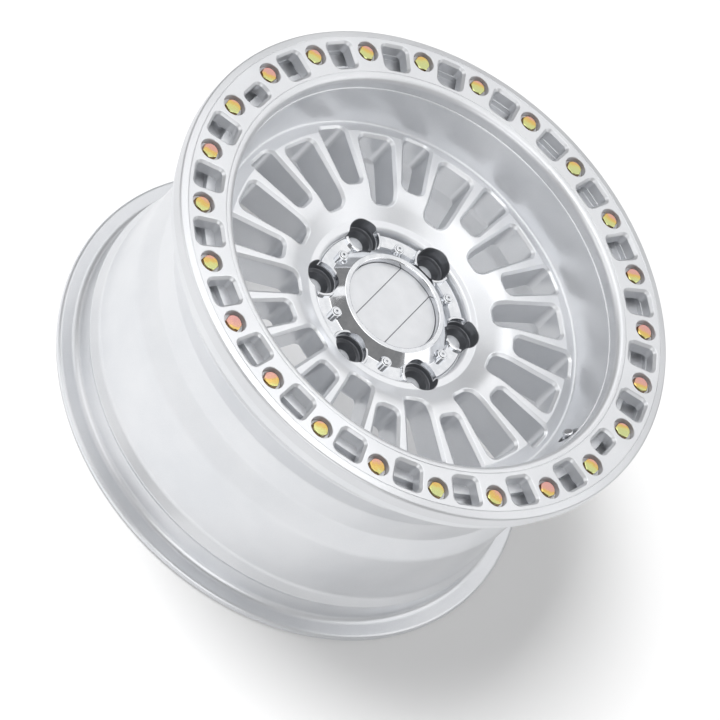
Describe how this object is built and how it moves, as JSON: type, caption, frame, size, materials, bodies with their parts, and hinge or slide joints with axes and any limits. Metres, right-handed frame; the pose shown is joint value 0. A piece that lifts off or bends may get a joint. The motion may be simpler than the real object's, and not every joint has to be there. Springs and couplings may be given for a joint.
{
  "type": "alloy wheel",
  "caption": "Off-road alloy wheel: deep dish with paired windows between spokes, bolted-on outer ring, notched centre cap over a stepped hub, recessed tyre valve.",
  "frame": {"origin": "centre of the hub mounting face", "axes": "+Z along the wheel's axis, outboard, so the wheel lies face up on its inboard flange; +X is an arbitrary spoke-side direction, with angles anticlockwise seen from the face"},
  "size_m": [0.48, 0.48, 0.251],
  "materials": {
    "cast_alloy": "satin machined silver",
    "ring_alloy": "satin machined silver",
    "bolt_zinc": "yellow passivated zinc",
    "cap_chrome": "bright chrome",
    "disc_silver": "satin silver",
    "valve_metal": "nickel plate",
    "valve_rubber": "plain",
    "core_brass": "turned",
    "spring_steel": "plain"
  },
  "bodies": {
    "wheel": {"wheel_body": "cast_alloy", "outer_ring": "ring_alloy", "ring_bolts": "bolt_zinc", "centre_cap": "cap_chrome", "cap_disc": "disc_silver", "cap_screws": "cap_chrome", "valve_stem": "valve_metal", "valve_grommet": "valve_rubber", "valve_washer": "valve_metal", "valve_nut": "valve_metal", "valve_core_sleeve": "core_brass", "valve_core_spring": "spring_steel"},
    "valve_pin": {"valve_core_pin": "core_brass", "valve_core_seal": "valve_rubber"},
    "cap_carrier": {"valve_cap_seal": "valve_rubber"},
    "screw_cap": {"valve_cap": "valve_metal"}
  },
  "joints": [
    {"name": "pin_press", "type": "slide", "parent": "wheel", "child": "valve_pin", "axis": [-0.3913, 0.51, -0.766], "range_m": [0, 0.0012], "stiffness_N_per_m": 800, "springref_m": -0.001, "deforming": ["valve_core_spring"]},
    {"name": "cap_lift", "type": "slide", "parent": "wheel", "child": "cap_carrier", "axis": [0.3913, -0.51, 0.766], "range_m": [0, 0.00476]},
    {"name": "cap_turn", "type": "hinge", "parent": "cap_carrier", "child": "screw_cap", "pos_m": [-0.11323, 0.14756, 0.076], "axis": [0.3913, -0.51, 0.766], "range_deg": [0, 2160]}
  ],
  "couplings": [
    {"joint": "cap_lift", "follows": "cap_turn", "m_per_rad": 0.00012633}
  ]
}
